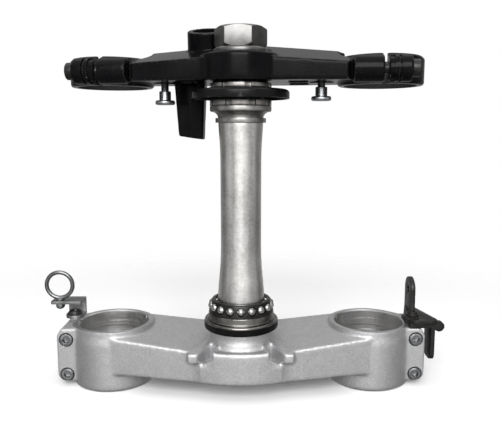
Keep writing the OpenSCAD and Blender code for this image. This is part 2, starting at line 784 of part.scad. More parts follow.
// Bolt with a collar and a flange that hangs from the underside of the top yoke
module shoulder_bolt(s, drop) {
    color("gainsboro") rotate([0, 0, top_turn])
        translate([s * shoulder_bolt_x, shoulder_bolt_y, top_web_z - 1 - drop]) rotate_extrude() polygon([
            [0, -shoulder_body_h - shoulder_flange_h], [shoulder_flange_r - 0.8, -shoulder_body_h - shoulder_flange_h],
            [shoulder_flange_r, -shoulder_body_h - shoulder_flange_h + 0.8],
            [shoulder_flange_r, -shoulder_body_h - 0.8], [shoulder_flange_r - 0.8, -shoulder_body_h],
            [shoulder_body_r, -shoulder_body_h], [shoulder_body_r, -0.4], [shoulder_body_r - 0.4, 0],
            [shoulder_neck_r, 0], [shoulder_neck_r, drop + shoulder_hole_depth - 1],
            [0, drop + shoulder_hole_depth - 1]
        ]);
}

// Bent sheet bracket on the front ear of the left clamp
module hose_guide_bracket() {
    x0 = guide_x - guide_w / 2;
    color("slategray") difference() {
        union() {
            translate([guide_x, guide_bolt_y, ear_top]) cylinder(h = guide_sheet, r = guide_w / 2);
            translate([x0, guide_bolt_y, ear_top]) cube([guide_w, guide_y1 - guide_bolt_y, guide_sheet]);
            translate([x0, guide_y1 - guide_sheet, ear_top]) cube([guide_w, guide_sheet, guide_top - ear_top]);
            translate([0, 0, guide_top - guide_sheet]) linear_extrude(guide_sheet)
                round_box(x0 - guide_tab, guide_flange_y, x0 + guide_w, guide_y1, 1.5);
        }
        translate([guide_x, guide_bolt_y, ear_top - eps])
            cylinder(h = guide_sheet + 2 * eps, r = ear_bolt_r + bolt_gap);
        translate([guide_eye_x, guide_eye_y, guide_top - guide_sheet - eps])
            cylinder(h = guide_sheet + 2 * eps, r = guide_stud_r + bolt_gap);
    }
}

// Closed wire ring with the stud that it stands on
module hose_guide_ring() {
    wire_r = guide_wire_d / 2;
    color("silver") translate([guide_eye_x, guide_eye_y, 0]) {
        translate([0, 0, guide_eye_z]) rotate([90, 0, 0]) rotate_extrude()
            translate([guide_ring_r - wire_r, 0]) circle(r = wire_r, $fn = 32);
        translate([0, 0, guide_top]) cylinder(h = wire_r, r = guide_stud_r + 0.9);
        translate([0, 0, guide_top - guide_sheet - guide_nut_h + 1]) cylinder(h = guide_sheet + guide_nut_h - 0.5, r = guide_stud_r);
    }
}

// Domed nut under the tab
module hose_guide_nut() {
    color("dimgray") translate([guide_eye_x, guide_eye_y, guide_top - guide_sheet - guide_nut_h]) difference() {
        intersection() {
            cylinder(h = guide_nut_h, r = guide_nut_r, $fn = 6);
            rotate_extrude() polygon([
                [0, 0], [guide_nut_r * 0.5, 0.3], [guide_nut_r * 0.8, 1.2], [guide_nut_r * 0.96, 2.4],
                [guide_nut_r + 0.1, 3.4], [guide_nut_r + 0.1, guide_nut_h], [0, guide_nut_h]
            ]);
        }
        translate([0, 0, 1 - press_gap]) cylinder(h = guide_nut_h, r = guide_stud_r + press_gap);
    }
}

// Low bolt with a flanged round head, standing on z = 0
module flange_bolt(head_r, head_h, shank_r, shank_len) {
    difference() {
        union() {
            rotate_extrude() polygon([
                [0, 0], [head_r, 0], [head_r, 0.9], [head_r - 1.1, 1.2], [head_r - 1.3, head_h - 0.4],
                [head_r - 1.7, head_h], [0, head_h]
            ]);
            translate([0, 0, -shank_len]) cylinder(h = shank_len + 0.1, r = shank_r);
        }
        translate([0, 0, head_h * 0.4]) cylinder(h = head_h, r = head_r * 0.42, $fn = 6);
    }
}

module guide_bracket_bolt() {
    color("dimgray") translate([guide_x, guide_bolt_y, ear_top + guide_sheet])
        flange_bolt(guide_head_r, stay_head_h, ear_tap_r - press_gap, guide_sheet + ear_tap_depth - side_gap);
}

// Plate with a round-ended tongue that stands up along the clamp
module cable_stay() {
    z = ear_top + stay_sheet;
    x0 = stay_x - stay_sheet;
    color("#202022") difference() {
        union() {
            translate([0, 0, z]) linear_extrude(stay_sheet) union() {
                translate([stay_lobe_x, stay_lobe_y]) circle(r = stay_lobe_r);
                polygon([
                    [stay_lobe_x, stay_lobe_y - stay_lobe_r], [stay_out_x - 3, stay_lobe_y - stay_lobe_r + 1],
                    [stay_out_x, stay_y0 + 2], [stay_x + 0.8, stay_y1], [x0, stay_y1],
                    [stay_lobe_x - stay_lobe_r + 0.5, stay_bolt_y + 5],
                    [stay_lobe_x - stay_lobe_r, stay_lobe_y]
                ]);
            }
            translate([x0, 0, z]) rotate([90, 0, 90]) linear_extrude(stay_sheet) {
                translate([tongue_y - tongue_w / 2, 0]) square([tongue_w, tongue_h - stay_sheet - tongue_w / 2]);
                translate([tongue_y, tongue_h - stay_sheet - tongue_w / 2]) circle(r = tongue_w / 2);
            }
            translate([hook_x, 0, hook_z]) rod_y(stay_y0 + 2.5, stay_y0 + 2.5 + hook_w, hook_r);
        }
        translate([x0 - eps, tongue_y, z + tongue_h - stay_sheet - tongue_w / 2])
            rod_x(0, stay_sheet + 2 * eps, tongue_hole_r);
        translate([stay_bolt_x, stay_bolt_y, z - eps])
            cylinder(h = stay_sheet + 2 * eps, r = ear_tap_r + bolt_gap);
        translate([stay_lobe_x, stay_lobe_y, z - eps])
            cylinder(h = stay_sheet + 2 * eps, r = stay_hole_r);
    }
}

// Lower plate with a strip that hangs down behind the ear
module brake_hose_stay() {
    y0 = strip_y - strip_w / 2;
    color("#202022") difference() {
        union() {
            translate([0, 0, ear_top]) linear_extrude(stay_sheet)
                round_box(stay_lobe_x - stay_lobe_r, y0, strip_x + stay_sheet, y0 + strip_w + 8, 2.5);
            translate([strip_x, 0, ear_top + stay_sheet - strip_len]) rotate([90, 0, 90]) linear_extrude(stay_sheet) {
                translate([y0, strip_round]) square([strip_w, strip_len - strip_round]);
                translate([y0 + strip_round, 0]) square([strip_w - 2 * strip_round, strip_round + 1]);
                for (y = [y0 + strip_round, y0 + strip_w - strip_round]) translate([y, strip_round]) circle(r = strip_round);
            }
        }
        translate([stay_bolt_x, stay_bolt_y, ear_top - eps]) cylinder(h = stay_sheet + 2 * eps, r = ear_tap_r + bolt_gap);
    }
}

module stay_bolt() {
    color("#303034") translate([stay_bolt_x, stay_bolt_y, ear_top + 2 * stay_sheet])
        flange_bolt(stay_head_r, stay_head_h, ear_tap_r - press_gap, 2 * stay_sheet + ear_tap_depth - side_gap);
}

lower_yoke();
lower_pinch_bolts(-1);  // left_lower_pinch_bolts
lower_pinch_bolts(1);  // right_lower_pinch_bolts
steering_stem();
lower_dust_seal();
seal_washer();
lower_inner_race();
ball_cage();
bearing_balls();
upper_inner_race();
adjuster_ring_nut();
upper_dust_cover();
lock_ring_nut();
top_yoke();
top_pinch_bolt(-1);  // left_top_pinch_bolt
top_pinch_bolt(1);  // right_top_pinch_bolt
stem_washer();
stem_nut();
shoulder_bolt(-1, left_drop);  // left_shoulder_bolt
shoulder_bolt(1, right_drop);  // right_shoulder_bolt
hose_guide_bracket();
hose_guide_ring();
hose_guide_nut();
guide_bracket_bolt();
cable_stay();
brake_hose_stay();
stay_bolt();
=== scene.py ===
import math

import bmesh
import bpy
from mathutils import Matrix, Vector


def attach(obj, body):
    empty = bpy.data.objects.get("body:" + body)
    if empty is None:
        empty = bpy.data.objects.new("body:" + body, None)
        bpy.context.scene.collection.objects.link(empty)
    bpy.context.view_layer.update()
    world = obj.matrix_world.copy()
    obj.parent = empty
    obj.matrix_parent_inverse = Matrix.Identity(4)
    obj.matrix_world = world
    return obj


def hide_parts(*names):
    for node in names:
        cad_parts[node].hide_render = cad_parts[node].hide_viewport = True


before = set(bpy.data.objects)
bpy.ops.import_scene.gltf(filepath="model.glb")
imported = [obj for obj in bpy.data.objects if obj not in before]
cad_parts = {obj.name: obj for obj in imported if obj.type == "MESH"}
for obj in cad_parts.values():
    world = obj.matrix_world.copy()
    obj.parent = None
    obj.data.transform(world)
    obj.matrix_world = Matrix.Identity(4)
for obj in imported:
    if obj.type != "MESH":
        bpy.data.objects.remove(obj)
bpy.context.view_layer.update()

# Sizes are in millimetres, as the part's source gives them, where nothing else is said
MM = 0.001
SIDES = (-1, 1)

# Lower yoke: fork axes, clamps, ears with their screws' heights and holes, and the two tapped holes
FORK_X, FORK_Y = 105.0, 20.0
LOWER_BORE, CLAMP_H, RIM = 27.75, 48.0, 31.65
EAR_X, EAR_Y, EAR_REACH = 34.2, 20.0, 41.9
EAR_LOW, EAR_TOP = 4.1, 47.3
EAR_SCREWS, EAR_HEAD, EAR_HOLE, EAR_SINK = (9.7, 38.4), 5.5, 3.2, 5.0
TAPPED, TAPPED_R, TAPPED_DEPTH = ((-140.6, 32.25), (139.6, 14.4)), 2.6, 5.4
SLOT = 3.0

# Nose with its valleys and steering stops, and the stem boss
NOSE_SIDE, VALLEY_MOUTH, VALLEY_FLOOR, STOP_FOOT = 21.7, 11.3, 26.5, 29.7
BOSS_TOP, FOOT = 50.4, 13.0

# Stem: its radii from the bearing seat up, its hole, and its heights
STEM_SEAT, STEM_WAIST, STEM_NECK, THREAD_R, STEM_HOLE = 18.3, 15.6, 16.9, 12.9, 9.5
TAPER_LOW, WAIST_LOW, WAIST_TOP, TAPER_TOP = 75.9, 103.9, 188, 207
NECK_TOP, STEM_TOP = 209.0, 276.4

# Head bearings: bores of the rings, the seal, the washer, the races and the balls
SEAL_BORE, RACE_BORE, RING_BORE = 18.4, 18.32, 12.94
SEAL_R, SEAL_TOP, WASHER_R, WASHER_TOP = 29.0, 55.6, 28.8, 57.4
RACE_R, RACE_TOP, SHOULDER_R, SHOULDER_Z = 26.3, 70.0, 23.5, 63.4
BALL_R, BALL_RING, BALL_Z, BALLS = 3.175, 22.8, 68.0, 18
NUT_R, UPPER_RACE_TOP = 23.2, 221.3
COVER_R, COVER_WALL, COVER_LOW, COVER_TOP = 36.7, 1.6, 226.1, 234.3

# Top yoke: its turn on the stem, clamps, pinch bosses, shoulder bolts and lock boss
YOKE_TURN, YOKE_UNDER = -6.0, 238.3
TOP_BORE, TOP_CLAMP_Z, TOP_CLAMP_H, TOP_CLAMP_R = 27.4, 236.7, 21.5, 32.4
PINCH_Y, PINCH_Z, PINCH_OUT, PINCH_IN = -13.2, 246.85, 123.4, 82.5
PINCH_R, PINCH_NECK, PINCH_COLLAR = 9.6, (107.6, 110.8), (113.6, 115.3)
PINCH_HOLE, PINCH_HEAD, PINCH_SHELF = 4.2, 6.6, 38.8
HANGER_X, HANGER_Y, HANGER_R, HANGER_TOP = 60.3, 10, 2.95, 247.3
LOCK_X, LOCK_Y, LOCK_Z, LOCK_TILT, LOCK_H = -28.6, 28.0, 254.3, 17.0, 27.0
LOCK_BORE, LOCK_DEPTH = 11, 24
SEAT_Z, NUT_Z = 260.3, 263.7

# Hose guide: middle of its eye, the eye's two radii, and the foot of its shank
EYE_X, EYE_Y, EYE_Z = -152.45, 31.5, 74.8
EYE_R, WIRE_R, SHANK_LOW = 10.8, 1.7, 55.6

# Camera, as fitted to the photograph: focal length and width in pixels, place in metres, turn in degrees
FOCAL_PIXELS, PHOTO_WIDTH, SENSOR_MM = 588.77, 500.0, 36.0
CAMERA_AT, CAMERA_DOWN, CAMERA_TURN = (0.00432, -0.45014, 0.20370), 7.80, -0.34


# Node trees

class Wire:
    """One output of a node tree, so that shader maths reads as an expression."""

    def __init__(self, nodes, socket):
        self.nodes, self.socket = nodes, socket

    def _maths(self, operation, first, second):
        return self.nodes.node("ShaderNodeMath", {"operation": operation}, {0: first, 1: second})

    def __add__(self, other):
        return self._maths("ADD", self, other)

    def __radd__(self, other):
        return self._maths("ADD", other, self)

    def __mul__(self, other):
        return self._maths("MULTIPLY", self, other)

    def __rmul__(self, other):
        return self._maths("MULTIPLY", other, self)

    def __truediv__(self, other):
        return self._maths("DIVIDE", self, other)


class Nodes:
    """A node tree, and one method that adds any node to it."""

    def __init__(self, tree):
        self.tree = tree

    def node(self, kind, settings=None, sockets=None, out=0):
        """Adds a node, sets it, fills or wires its sockets, and gives the wire from one output."""
        made = self.tree.nodes.new(kind)
        for key, value in (settings or {}).items():
            if key == "stops":
                self.set_stops(made.color_ramp, value)
            else:
                setattr(made, key, value)
        for key, value in (sockets or {}).items():
            if isinstance(value, Wire):
                self.tree.links.new(value.socket, made.inputs[key])
            else:
                made.inputs[key].default_value = value
        return Wire(self, made.outputs[out])

    @staticmethod
    def set_stops(ramp, stops):
        """Gives a colour ramp its stops, as (place, grey)."""
        while len(ramp.elements) > 1:
            ramp.elements.remove(ramp.elements[-1])
        for i, (place, grey) in enumerate(stops):
            stop = ramp.elements[0] if i == 0 else ramp.elements.new(place)
            stop.position = place
            stop.color = (grey, grey, grey, 1)


class Finish(Nodes):
    """A material with its principled shader."""

    def __init__(self, name, metal, shine):
        self.name = name
        self.material = bpy.data.materials.new(name)
        self.material.use_nodes = True
        super().__init__(self.material.node_tree)
        self.shader = next(n for n in self.tree.nodes if n.type == "BSDF_PRINCIPLED")
        self.shader.inputs["Metallic"].default_value = metal
        self.shader.inputs["Specular IOR Level"].default_value = shine
        self.place = self.node("ShaderNodeTexCoord", out="Object")

    def axis(self, number):
        """The surface point's x, y or z, in metres."""
        return self.node("ShaderNodeSeparateXYZ", {}, {0: self.place}, out=number)

    def stretched(self, x, y, z):
        """The surface point scaled along each axis, for marks that run one way."""
        return self.node("ShaderNodeMapping", {}, {"Vector": self.place, "Scale": (x, y, z)})

    def grain(self, scale, detail=3.0, rough=0.55, place=None):
        return self.node("ShaderNodeTexNoise", {}, {
            "Vector": place or self.place, "Scale": scale, "Detail": detail, "Roughness": rough})

    def rise(self, factor, low, high):
        """A mask that is 0 up to low and 1 from high on."""
        return self.node("ShaderNodeValToRGB", {"stops": ((low, 0.0), (high, 1.0))}, {"Fac": factor})

    def fall(self, factor, low, high):
        """A mask that is 1 up to low and 0 from high on."""
        return self.node("ShaderNodeValToRGB", {"stops": ((low, 1.0), (high, 0.0))}, {"Fac": factor})

    def convexity(self):
        """How far the surface stands out: over 0.5 on edges, under 0.5 in corners. The finishes paint
        highlights on edges and shade in corners from it.
        """
        return self.node("ShaderNodeNewGeometry", out="Pointiness")

    def blend(self, factor, first, second):
        """One colour where the factor is 0, the other where it is 1."""
        sockets = {0: factor}
        for number, colour in ((6, first), (7, second)):
            sockets[number] = colour if isinstance(colour, Wire) else tuple(colour) + (1,)
        return self.node("ShaderNodeMix", {"data_type": "RGBA"}, sockets, out=2)

    def bumps(self, height, distance, strength):
        sockets = {"Height": height, "Distance": distance, "Strength": strength}
        return self.node("ShaderNodeBump", {}, sockets)

    def set(self, **links):
        """Wires the shader's inputs."""
        for socket, wire in links.items():
            self.tree.links.new(wire.socket, self.shader.inputs[socket.replace("_", " ")])
        return self


# Finishes

def cast_silver():
    """A blasted casting under clear lacquer: light and dark grain, with painted shade in its corners and a
    painted highlight along its edges.
    """
    f = Finish("cast_silver", 0.92, 0.5)
    mottle, grain, grit = f.grain(160, 3), f.grain(950, 3, 0.7), f.grain(1900, 2, 0.65)
    bright, dull = (0.80, 0.80, 0.81), (0.36, 0.36, 0.365)
    body = f.blend(f.rise(mottle, 0.38, 0.62), (0.51, 0.51, 0.515), (0.55, 0.55, 0.555))
    for mask, amount, tone in (
            (f.rise(grain, 0.48, 0.66), 0.42, bright),
            (f.fall(grain, 0.34, 0.50), 0.40, (0.38, 0.38, 0.385)),
            (f.rise(grit, 0.56, 0.70), 0.45, dull),
            # painted shade: darker in corners and creases
            (f.fall(f.convexity(), 0.44, 0.495), 0.50, dull),
            # painted highlight: lighter along edges
            (f.rise(f.convexity(), 0.505, 0.56), 0.25, bright)):
        body = f.blend(mask * amount, body, tone)
    sand = f.bumps(grain * 0.5 + grit * 0.5, 0.00024, 0.8)
    return f.set(Base_Color=body, Roughness=0.46 + 0.12 * grain, Normal=sand)


def machined_silver():
    """Bored and faced metal, with fine tool marks that run level round a bore."""
    f = Finish("machined_silver", 1.0, 0.5)
    marks = f.grain(1.0, 2, 0.6, f.stretched(9, 9, 2400))
    cloud = f.grain(40, 3)
    tone = f.blend(f.rise(cloud, 0.35, 0.65), (0.50, 0.495, 0.49), (0.72, 0.715, 0.71))
    tone = f.blend(f.rise(marks, 0.40, 0.62) * 0.35, tone, (0.74, 0.74, 0.74))
    gloss = 0.24 + 0.08 * marks + 0.06 * cloud
    return f.set(Base_Color=tone, Roughness=gloss, Normal=f.bumps(marks, 0.0002, 0.9))


def turned_steel():
    """Steel turned about the steering axis, with stains, flecks and streaks along the stem."""
    f = Finish("turned_steel", 1.0, 0.5)
    angle = f.node("ShaderNodeMath", {"operation": "ARCTAN2"}, {0: f.axis(1), 1: f.axis(0)})
    share = angle / (2 * math.pi) + 0.5
    along = f.node("ShaderNodeCombineXYZ", {}, {0: share * 14, 1: f.axis(2) * 9, 2: 0.0})
    streaks = f.grain(1.0, 5, 0.6, along)
    rings = f.grain(1.0, 2, 0.5, f.stretched(4, 4, 3800))
    smudge, fleck = f.grain(55, 4, 0.6), f.grain(480, 3, 0.7)
    mask = f.rise(streaks * 0.45 + smudge * 0.25 + fleck * 0.3, 0.38, 0.60)
    tone = f.blend(mask, (0.50, 0.49, 0.475), (0.92, 0.91, 0.89))
    gloss = 0.26 + 0.12 * smudge + 0.05 * rings
    return f.set(Base_Color=tone, Roughness=gloss, Normal=f.bumps(rings, 0.00002, 0.35))


def ground_steel():
    """Ground bearing steel under a film of oil, dark where the oil is thick."""
    f = Finish("ground_steel", 1.0, 0.5)
    oil = f.grain(90, 4, 0.6)
    lines = f.grain(1.0, 2, 0.5, f.stretched(8, 8, 5200))
    tone = f.blend(f.rise(oil, 0.40, 0.66), (0.26, 0.252, 0.24), (0.10, 0.096, 0.088))
    gloss = 0.15 + 0.12 * oil + 0.04 * lines
    return f.set(Base_Color=tone, Roughness=gloss, Normal=f.bumps(lines, 0.00001, 0.3))


def polished_ball():
    f = Finish("polished_ball", 1.0, 0.5)
    oil = f.grain(300, 3, 0.6)
    tone = f.blend(f.rise(oil, 0.42, 0.70), (0.60, 0.59, 0.575), (0.40, 0.39, 0.37))
    return f.set(Base_Color=tone, Roughness=0.05 + 0.08 * oil, Normal=f.bumps(oil, 0.00001, 0.15))


def satin_black(name, shine, bare, rough):
    """Black paint with a slight orange peel, pale specks, and a painted highlight along its edges."""
    f = Finish(name, 0.0, shine)
    peel, cloud, specks = f.grain(700, 2, 0.5), f.grain(30, 4, 0.6), f.grain(1700, 2, 0.6)
    tone = f.blend(f.rise(cloud, 0.40, 0.68), (0.002, 0.002, 0.0025), bare)
    tone = f.blend(f.rise(specks, 0.66, 0.72) * 0.5, tone, (0.05, 0.05, 0.052))
    # painted highlight: lighter along edges
    tone = f.blend(f.rise(f.convexity(), 0.53, 0.60) * 0.6, tone, (0.10, 0.10, 0.105))
    return f.set(Base_Color=tone, Roughness=rough + 0.12 * cloud, Normal=f.bumps(peel, 0.00006, 0.45))


def clouded(name, metal, shine, scales, span, tones, gloss, bump):
    """
    A finish with a cloudy tone and gloss and a fine bump. The scales are those of the cloud and of the
    fine grain, the span is where the cloud goes from the first tone to the second, the gloss is the
    roughness and how much the cloud and the grain add to it, and the bump is its depth and strength.
    """
    f = Finish(name, metal, shine)
    cloud, fine = f.grain(scales[0], 4, 0.6), f.grain(scales[1], 2, 0.6)
    tone = f.blend(f.rise(cloud, *span), *tones)
    rough = gloss[0] + gloss[1] * cloud + gloss[2] * fine
    return f.set(Base_Color=tone, Roughness=rough, Normal=f.bumps(fine, *bump))


def plated(name, dark, light, rough):
    """Dull plating on steel."""
    return clouded(name, 1.0, 0.5, (120, 1100), (0.36, 0.64), (dark, light),
                   (rough, 0.14, 0.06), (0.00004, 0.35))


def screw(name, dark, light, rough):
    """A plated or blackened screw."""
    return clouded(name, 1.0, 0.5, (260, 1500), (0.36, 0.64), (dark, light),
                   (rough, 0.16, 0.0), (0.00004, 0.4))


def bright_zinc():
    return clouded("bright_zinc", 1.0, 0.5, (200, 1400), (0.38, 0.66),
                   ((0.34, 0.355, 0.37), (0.52, 0.54, 0.56)), (0.26, 0.12, 0.0), (0.00003, 0.3))


def black_steel():
    return clouded("black_steel", 0.0, 0.35, (220, 1300), (0.38, 0.66),
                   ((0.005, 0.0048, 0.0045), (0.014, 0.013, 0.012)), (0.28, 0.16, 0.0), (0.00004, 0.4))


def moulded_rubber():
    return clouded("moulded_rubber", 0.0, 0.10, (70, 900), (0.45, 0.72),
                   ((0.003, 0.003, 0.003), (0.008, 0.008, 0.008)), (0.36, 0.14, 0.0), (0.00005, 0.4))


def oiled_black():
    return clouded("oiled_black", 0.0, 0.35, (170, 1200), (0.40, 0.68),
                   ((0.003, 0.003, 0.003), (0.012, 0.011, 0.010)), (0.20, 0.16, 0.0), (0.00006, 0.4))


FINISHES = {finish.name: finish.material for finish in (
    cast_silver(), machined_silver(), turned_steel(), ground_steel(), polished_ball(),
    bright_zinc(), black_steel(), moulded_rubber(), oiled_black(),
    satin_black("satin_black", 0.08, (0.005, 0.005, 0.0055), 0.14),
    satin_black("cover_black", 0.16, (0.006, 0.006, 0.0065), 0.22),
    screw("screw_steel", (0.17, 0.175, 0.18), (0.36, 0.37, 0.375), 0.30),
    screw("screw_dark", (0.05, 0.05, 0.052), (0.14, 0.14, 0.145), 0.32),
    plated("plated_steel", (0.155, 0.152, 0.148), (0.215, 0.212, 0.208), 0.28),
    plated("bracket_grey", (0.20, 0.205, 0.20), (0.34, 0.345, 0.34), 0.36),
    plated("ring_plate", (0.24, 0.235, 0.225), (0.44, 0.43, 0.415), 0.26),
    plated("ring_zinc", (0.17, 0.172, 0.175), (0.26, 0.265, 0.27), 0.22),
)}


# Making, joining and cutting meshes

def new_object(name, data):
    """An object in the scene from a mesh, a lamp or a camera."""
    made = bpy.data.objects.new(name, data)
    bpy.context.scene.collection.objects.link(made)
    return made


def mesh_from(name, build):
    """A new object from what build(bm) makes, in millimetres, with its normals outward."""
    bm = bmesh.new()
    build(bm)
    bmesh.ops.remove_doubles(bm, verts=bm.verts, dist=1e-4)
    bmesh.ops.recalc_face_normals(bm, faces=bm.faces)
    bmesh.ops.scale(bm, vec=(MM, MM, MM), verts=bm.verts)
    mesh = bpy.data.meshes.new(name)
    bm.to_mesh(mesh)
    bm.free()
    return new_object(name, mesh)


def apply_modifiers(piece):
    """The piece's modifiers become part of its mesh."""
    depsgraph = bpy.context.evaluated_depsgraph_get()
    mesh = bpy.data.meshes.new_from_object(piece.evaluated_get(depsgraph), depsgraph=depsgraph)
    piece.modifiers.clear()
    old, piece.data = piece.data, mesh
    mesh.name = piece.name
    bpy.data.meshes.remove(old)
    return piece


def merged_copy(node, name, dissolve=True):
    """A copy of a CAD node's mesh with its doubles merged and its flat faces joined up."""
    piece = new_object(name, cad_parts[node].data.copy())
    piece.data.materials.clear()
    bm = bmesh.new()
    bm.from_mesh(piece.data)
    bmesh.ops.remove_doubles(bm, verts=bm.verts, dist=2e-6)
    if dissolve:
        bmesh.ops.dissolve_limit(bm, angle_limit=math.radians(0.6), verts=bm.verts, edges=bm.edges,
                                 use_dissolve_boundaries=False)
    bm.to_mesh(piece.data)
    bm.free()
    return piece


def shade(piece, angle=30):
    """Smooth shading with sharp edges past the angle."""
    for face in piece.data.polygons:
        face.use_smooth = True
    bm = bmesh.new()
    bm.from_mesh(piece.data)
    for edge in bm.edges:
        edge.smooth = len(edge.link_faces) == 2 and edge.calc_face_angle(0.0) < math.radians(angle)
    bm.to_mesh(piece.data)
    bm.free()
    return piece


def keep(piece, slot, finish, *nodes):
    """Gives a piece its finish where it has none, puts it on the root body and hides the CAD nodes that it
    stands for. The slot is not used.
    """
    if not piece.data.materials:
        piece.data.materials.append(FINISHES[finish])
    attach(piece, "root")
    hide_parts(*nodes)
    return piece


def join(first, other):
    """Adds the other's mesh to the first one's."""
    bm = bmesh.new()
    bm.from_mesh(first.data)
    bm.from_mesh(other.data)
    bm.to_mesh(first.data)
    bm.free()
    bpy.data.objects.remove(other)


def cast_form(piece, voxel, passes):
    """Makes one closed skin of a piece and its plugs, and softens its edges as casting does."""
    remesh = piece.modifiers.new("skin", "REMESH")
    remesh.mode = "VOXEL"
    remesh.voxel_size = voxel * MM
    apply_modifiers(piece)
    smooth = piece.modifiers.new("soft_edges", "SMOOTH")
    smooth.factor = 0.5
    smooth.iterations = passes
    apply_modifiers(piece)


def machine(piece, finish, *cutters):
    """
    Cuts crisp machined faces into a piece, one cutter after another, and gives them their finish. A
    cutter reaches a little past the faces that it opens.
    """
    for build in cutters:
        cutter = mesh_from("cutter", build)
        cutter.data.materials.append(FINISHES[finish])
        knife = piece.modifiers.new("machining", "BOOLEAN")
        knife.operation = "DIFFERENCE"
        knife.solver = "EXACT"
        knife.object = cutter
        knife.material_mode = "TRANSFER"
        apply_modifiers(piece)
        bpy.data.objects.remove(cutter)


# Shapes that builders use

def rounded(profile, radius, steps=3):
    """The profile with its corners rounded; a corner given as (x, y, r) has its own radius."""
    out = []
    count = len(profile)
    for i, corner in enumerate(profile):
        here = Vector(corner[:2])
        r = corner[2] if len(corner) > 2 else radius
        before = Vector(profile[i - 1][:2]) - here
        after = Vector(profile[(i + 1) % count][:2]) - here
        r = min(r, 0.45 * before.length, 0.45 * after.length)
        if r < 1e-4 or abs(before.normalized().cross(after.normalized())) < 0.02:
            out.append(here)
            continue
        start, end = here + before.normalized() * r, here + after.normalized() * r
        for k in range(steps + 1):
            t = k / steps
            out.append(start * (1 - t) ** 2 + here * 2 * t * (1 - t) + end * t ** 2)
    return out


def spin(bm, profile, segments=128, centre=(0, 0)):
    """Turns a closed profile of (radius, height) about a vertical axis."""
    rings = []
    for k in range(segments):
        a = 2 * math.pi * k / segments
        rings.append([bm.verts.new((centre[0] + p[0] * math.cos(a), centre[1] + p[0] * math.sin(a), p[1]))
                      for p in profile])
    on_axis = [p[0] < 1e-6 for p in profile]
    count = len(profile)
    for k in range(segments):
        here, there = rings[k], rings[(k + 1) % segments]
        for i in range(count):
            j = (i + 1) % count
            if on_axis[i] and on_axis[j]:
                continue
            corners = [here[i], there[i], there[j], here[j]]
            if on_axis[i]:
                corners = [here[i], there[j], here[j]]
            elif on_axis[j]:
                corners = [here[i], there[i], here[j]]
            bm.faces.new(corners)


def turned(name, profile, radius=0.3, segments=128):
    """A turned piece about the steering axis, with its edges rounded."""
    return mesh_from(name, lambda bm: spin(bm, rounded(profile, radius), segments))


def cylinder(bm, radius, low, high, centre=(0, 0), segments=64):
    spin(bm, [(0, low), (radius, low), (radius, high), (0, high)], segments, centre)


def box(bm, x0, x1, y0, y1, z0, z1):
    made = bmesh.ops.create_cube(bm, size=1.0)["verts"]
    for v in made:
        v.co = Vector(((x0 + x1) / 2 + v.co.x * (x1 - x0), (y0 + y1) / 2 + v.co.y * (y1 - y0),
                       (z0 + z1) / 2 + v.co.z * (z1 - z0)))


def skin(bm, first, second):
    """Closes the solid between two rings of corners."""
    bm.faces.new(first)
    bm.faces.new(second[::-1])
    count = len(first)
    for i in range(count):
        j = (i + 1) % count
        bm.faces.new((first[j], first[i], second[i], second[j]))


def prism(bm, outline, y0, y1):
    """A prism along y, from its outline of (x, z)."""
    skin(bm, *[[bm.verts.new((x, y, z)) for x, z in outline] for y in (y0, y1)])


def placed(bm, matrix, build, *sizes, **more):
    """Builds a shape and moves it by the matrix."""
    since = len(bm.verts)
    build(bm, *sizes, **more)
    bm.verts.ensure_lookup_table()
    for v in list(bm.verts)[since:]:
        v.co = matrix @ v.co


def turn(degrees, axis):
    return Matrix.Rotation(math.radians(degrees), 4, axis)


def along_x(x0, y, z):
    """Lays a shape that stands on z = 0 along +X, from x0."""
    return Matrix.Translation((x0, y, z)) @ turn(90, "Y")


def along_y(x, y0, z):
    """Lays a shape that stands on z = 0 along +Y, from y0."""
    return Matrix.Translation((x, y0, z)) @ turn(-90, "X")


# Lower yoke

def valley_fillet(bm, side):
    """Cast metal that rises from the foot of a steering stop to the side of the nose."""
    low, high = NOSE_SIDE + VALLEY_MOUTH - 0.4, NOSE_SIDE - 0.2
    mouth_front, nose_front, back = -25.6, -29.2, -17.0
    ring = [(low, mouth_front, 0), (high, nose_front, 6.7), (high, back, 2.5), (low, back, 0)]
    top = [bm.verts.new((side * x, y, VALLEY_FLOOR + rise + 0.1)) for x, y, rise in ring]
    base = [bm.verts.new((side * x, y, VALLEY_FLOOR - 1.0)) for x, y, rise in ring]
    skin(bm, top, base)


def ear_outline():
    """The side of a split ear, as (distance from the fork axis, height)."""
    root, reach = 20, EAR_REACH - 0.1
    return [(root, EAR_LOW), (reach - 4.0, EAR_LOW), (reach - 0.8, EAR_LOW + 3.35), (reach, EAR_LOW + 6.95),
            (reach, EAR_TOP - 5.95), (reach - 3.75, EAR_TOP), (root, EAR_TOP)]


def lower_plugs(bm):
    """
    Fills the bores, slots and screw holes, so that they can be cut crisp afterwards. A plug is a little
    wider than its hole and stays a hair inside the faces that the hole opens in.
    """
    for side in SIDES:
        x = side * FORK_X
        cylinder(bm, LOWER_BORE + 0.3, 0.02, CLAMP_H - 0.02, (x, FORK_Y))
        cylinder(bm, RIM + 0.5, CLAMP_H - 5, CLAMP_H + 1.6, (x, FORK_Y))
        prism(bm, [(x + side * out, z) for out, z in ear_outline()], FORK_Y - SLOT, FORK_Y + SLOT)
        for z in EAR_SCREWS:
            lay = along_y(x + side * EAR_X, FORK_Y - EAR_Y, z)
            placed(bm, lay, cylinder, EAR_HEAD + 0.1, 0.02, EAR_SINK + 2, segments=32)
            placed(bm, lay, cylinder, EAR_HOLE + 0.3, EAR_SINK + 1, 2 * EAR_Y - 3, segments=24)
        valley_fillet(bm, side)
    for x, y in TAPPED:
        cylinder(bm, TAPPED_R + 0.3, CLAMP_H - 7, CLAMP_H - 0.65, (x, y), 24)
    cylinder(bm, STEM_SEAT + 0.7, FOOT + 0.05, BOSS_TOP - 0.05)


